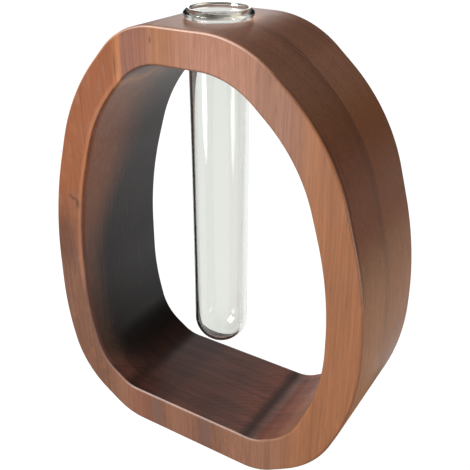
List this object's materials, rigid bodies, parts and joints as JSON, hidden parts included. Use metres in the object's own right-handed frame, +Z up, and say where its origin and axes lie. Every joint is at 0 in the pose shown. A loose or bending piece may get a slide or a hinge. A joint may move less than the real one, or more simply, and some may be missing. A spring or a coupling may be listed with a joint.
{
  "type": "test tube vase",
  "caption": "Bud vase: a clear glass test tube with a beaded lip hangs through the flat top of a rounded, egg-shaped ring of dark wood that stands on its flat base.",
  "frame": {"origin": "middle of the ring's footprint, on the surface it stands on", "axes": "+Z up along the tube, +X to the right across the ring's width, -Y out of the ring's front face"},
  "size_m": [0.127, 0.044, 0.1632],
  "materials": {
    "front_wood": "oiled satin, vertical grain",
    "back_wood": "oiled satin, vertical grain",
    "clear_glass": "clear, smooth"
  },
  "bodies": {
    "ring": {"front_board": "front_wood", "back_board": "back_wood"},
    "tube": {"test_tube": "clear_glass"}
  },
  "joints": [
    {"name": "tube_lift", "type": "slide", "parent": "ring", "child": "tube", "axis": [0, 0, 1], "range_m": [0, 0.13]}
  ]
}
